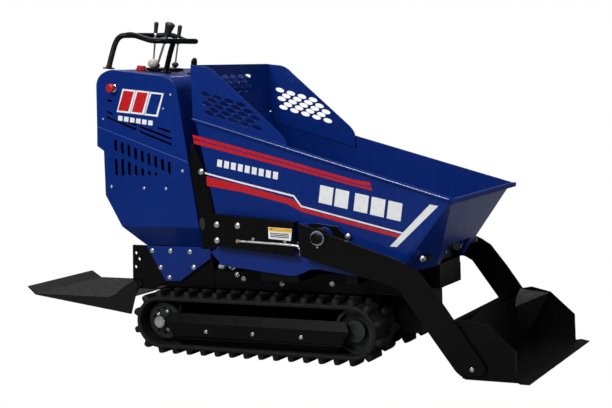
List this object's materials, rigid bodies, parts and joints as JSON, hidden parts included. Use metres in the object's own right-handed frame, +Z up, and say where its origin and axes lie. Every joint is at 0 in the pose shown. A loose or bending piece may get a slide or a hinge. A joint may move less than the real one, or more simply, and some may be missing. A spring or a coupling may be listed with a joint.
{
  "type": "power wheelbarrow",
  "caption": "Self-loading tracked power wheelbarrow with a tipping hopper, a front loading shovel on lift arms, a control console and a fold-up operator platform.",
  "frame": {"origin": "on the ground, under the centre of the overall bounding box", "axes": "+X forward towards the shovel, +Y to the machine's left, +Z up"},
  "size_m": [2.165, 0.776, 1.2669],
  "materials": {
    "blue_paint": "deep blue gloss powder coat",
    "black_paint": "satin black powder coat",
    "rubber": "moulded black track rubber",
    "zinc_steel": "zinc plated",
    "chrome": "polished hard chrome rod",
    "cast_iron": "dark grey cast",
    "red_plastic": "glossy red",
    "black_plastic": "matt black"
  },
  "bodies": {
    "chassis": {"track_belt_right": "rubber", "track_belt_left": "rubber", "handle_guard": "black_paint", "chassis_frame": "black_paint", "exhaust_pipe": "black_paint", "track_beam_right": "black_paint", "track_beam_left": "black_paint", "console_hood": "blue_paint", "loader_plate_right": "blue_paint", "loader_plate_left": "blue_paint", "drive_motor_right": "cast_iron", "drive_motor_left": "cast_iron", "engine_block": "cast_iron", "hopper_hinge_pin_right": "zinc_steel", "hopper_hinge_pin_left": "zinc_steel", "rear_bracket_right": "black_paint", "rear_bracket_left": "black_paint", "fuel_tank": "black_plastic", "hydraulic_tank": "cast_iron", "console_upper_panel_right": "blue_paint", "console_upper_panel_left": "blue_paint", "cylinder_guard_right": "black_paint", "cylinder_guard_left": "black_paint", "track_cover_right": "black_paint", "track_cover_left": "black_paint", "lever_plate": "black_paint", "hopper_post_right": "black_paint", "hopper_post_left": "black_paint", "console_rear_cover": "blue_paint", "console_base_pan": "blue_paint", "console_lower_panel_right": "blue_paint", "console_lower_panel_left": "blue_paint", "console_apron_right": "blue_paint", "console_apron_left": "blue_paint"},
    "sprocket_right": {"drive_sprocket_right": "cast_iron"},
    "idler_right": {"idler_wheel_right": "cast_iron"},
    "roller_rear_right": {"bottom_roller_right_rear": "cast_iron"},
    "roller_front_right": {"bottom_roller_right_front": "cast_iron"},
    "lift_barrel_right": {"lift_barrel_right": "black_paint"},
    "lift_rod_right": {"lift_rod_right": "chrome"},
    "drive_lever_right": {"drive_lever_right": "black_plastic"},
    "sprocket_left": {"drive_sprocket_left": "cast_iron"},
    "idler_left": {"idler_wheel_left": "cast_iron"},
    "roller_rear_left": {"bottom_roller_left_rear": "cast_iron"},
    "roller_front_left": {"bottom_roller_left_front": "cast_iron"},
    "lift_barrel_left": {"lift_barrel_left": "black_paint"},
    "lift_rod_left": {"lift_rod_left": "chrome"},
    "drive_lever_left": {"drive_lever_left": "black_plastic"},
    "main_lever": {"main_lever": "black_plastic"},
    "fuel_cap": {"fuel_cap": "red_plastic"},
    "stop_knob": {"stop_knob": "red_plastic"},
    "hopper": {"hopper_tub": "blue_paint", "hopper_guard_right": "blue_paint", "hopper_guard_left": "blue_paint", "hopper_guard_rear": "blue_paint"},
    "tip_barrel": {"tip_barrel": "black_paint"},
    "tip_rod": {"tip_rod": "chrome"},
    "arms": {"loader_arms": "black_paint"},
    "shovel": {"shovel": "black_paint"},
    "platform": {"platform": "black_paint"}
  },
  "joints": [
    {"name": "arm_lift", "type": "hinge", "parent": "chassis", "child": "arms", "pos_m": [0.326, 0, 0.469], "axis": [0, -1, 0], "range_deg": [0, 100]},
    {"name": "shovel_adjust", "type": "hinge", "parent": "arms", "child": "shovel", "pos_m": [0.876, 0, 0.039], "axis": [0, -1, 0], "range_deg": [0, 8]},
    {"name": "hopper_tilt", "type": "hinge", "parent": "chassis", "child": "hopper", "pos_m": [0.674, 0, 0.392], "axis": [0, 1, 0], "range_deg": [0, 35]},
    {"name": "platform_fold", "type": "hinge", "parent": "chassis", "child": "platform", "pos_m": [-0.548, 0, 0.247], "axis": [0, 1, 0], "range_deg": [0, 78]},
    {"name": "tip_swing", "type": "hinge", "parent": "chassis", "child": "tip_barrel", "pos_m": [0.06, 0, 0.19], "axis": [0, -1, 0], "range_deg": [-2, 24.58]},
    {"name": "tip_extend", "type": "slide", "parent": "tip_barrel", "child": "tip_rod", "axis": [0.9689, 0, 0.2476], "range_m": [-0.002, 0.06125]},
    {"name": "lift_swing_right", "type": "hinge", "parent": "chassis", "child": "lift_barrel_right", "pos_m": [-0.08, -0.3355, 0.455], "axis": [0, -1, 0], "range_deg": [-6.48, 2]},
    {"name": "lift_extend_right", "type": "slide", "parent": "lift_barrel_right", "child": "lift_rod_right", "axis": [0.9995, 0, -0.0326], "range_m": [-0.002, 0.11168]},
    {"name": "sprocket_turn_right", "type": "hinge", "parent": "chassis", "child": "sprocket_right", "pos_m": [-0.403, -0.2, 0.1205], "axis": [0, 1, 0], "continuous": true},
    {"name": "idler_turn_right", "type": "hinge", "parent": "chassis", "child": "idler_right", "pos_m": [0.403, -0.2, 0.1205], "axis": [0, 1, 0], "continuous": true},
    {"name": "roller_rear_turn_right", "type": "hinge", "parent": "chassis", "child": "roller_rear_right", "pos_m": [-0.15, -0.21, 0.0673], "axis": [0, 1, 0], "continuous": true},
    {"name": "roller_front_turn_right", "type": "hinge", "parent": "chassis", "child": "roller_front_right", "pos_m": [0.15, -0.21, 0.0673], "axis": [0, 1, 0], "continuous": true},
    {"name": "lift_swing_left", "type": "hinge", "parent": "chassis", "child": "lift_barrel_left", "pos_m": [-0.08, 0.3355, 0.455], "axis": [0, -1, 0], "range_deg": [-6.48, 2]},
    {"name": "lift_extend_left", "type": "slide", "parent": "lift_barrel_left", "child": "lift_rod_left", "axis": [0.9995, 0, -0.0326], "range_m": [-0.002, 0.11168]},
    {"name": "sprocket_turn_left", "type": "hinge", "parent": "chassis", "child": "sprocket_left", "pos_m": [-0.403, 0.2, 0.1205], "axis": [0, 1, 0], "continuous": true},
    {"name": "idler_turn_left", "type": "hinge", "parent": "chassis", "child": "idler_left", "pos_m": [0.403, 0.2, 0.1205], "axis": [0, 1, 0], "continuous": true},
    {"name": "roller_rear_turn_left", "type": "hinge", "parent": "chassis", "child": "roller_rear_left", "pos_m": [-0.15, 0.21, 0.0673], "axis": [0, 1, 0], "continuous": true},
    {"name": "roller_front_turn_left", "type": "hinge", "parent": "chassis", "child": "roller_front_left", "pos_m": [0.15, 0.21, 0.0673], "axis": [0, 1, 0], "continuous": true},
    {"name": "drive_lever_tilt_right", "type": "hinge", "parent": "chassis", "child": "drive_lever_right", "pos_m": [-0.482, -0.128, 1.10598], "axis": [0, 1, 0], "range_deg": [-12, 12], "stiffness_Nm_per_rad": 1},
    {"name": "drive_lever_tilt_left", "type": "hinge", "parent": "chassis", "child": "drive_lever_left", "pos_m": [-0.482, 0.03, 1.09958], "axis": [0, 1, 0], "range_deg": [-12, 12], "stiffness_Nm_per_rad": 1},
    {"name": "main_lever_tilt", "type": "hinge", "parent": "chassis", "child": "main_lever", "pos_m": [-0.49, -0.088, 1.09827], "axis": [0, 1, 0], "range_deg": [-22, 4]},
    {"name": "fuel_cap_turn", "type": "hinge", "parent": "chassis", "child": "fuel_cap", "pos_m": [-0.515, -0.165, 1.07907], "axis": [0.1347, 0, 0.9909], "continuous": true},
    {"name": "stop_knob_pull", "type": "slide", "parent": "chassis", "child": "stop_knob", "axis": [0, -1, 0], "range_m": [0, 0.01]}
  ],
  "couplings": [
    {"joint": "tip_swing", "follows": "hopper_tilt", "ratio": 0.64522},
    {"joint": "tip_extend", "follows": "hopper_tilt", "m_per_rad": 0.093725},
    {"joint": "lift_swing_right", "follows": "arm_lift", "ratio": -0.044788},
    {"joint": "lift_extend_right", "follows": "arm_lift", "m_per_rad": 0.061697},
    {"joint": "lift_swing_left", "follows": "arm_lift", "ratio": -0.044788},
    {"joint": "lift_extend_left", "follows": "arm_lift", "m_per_rad": 0.061697}
  ]
}
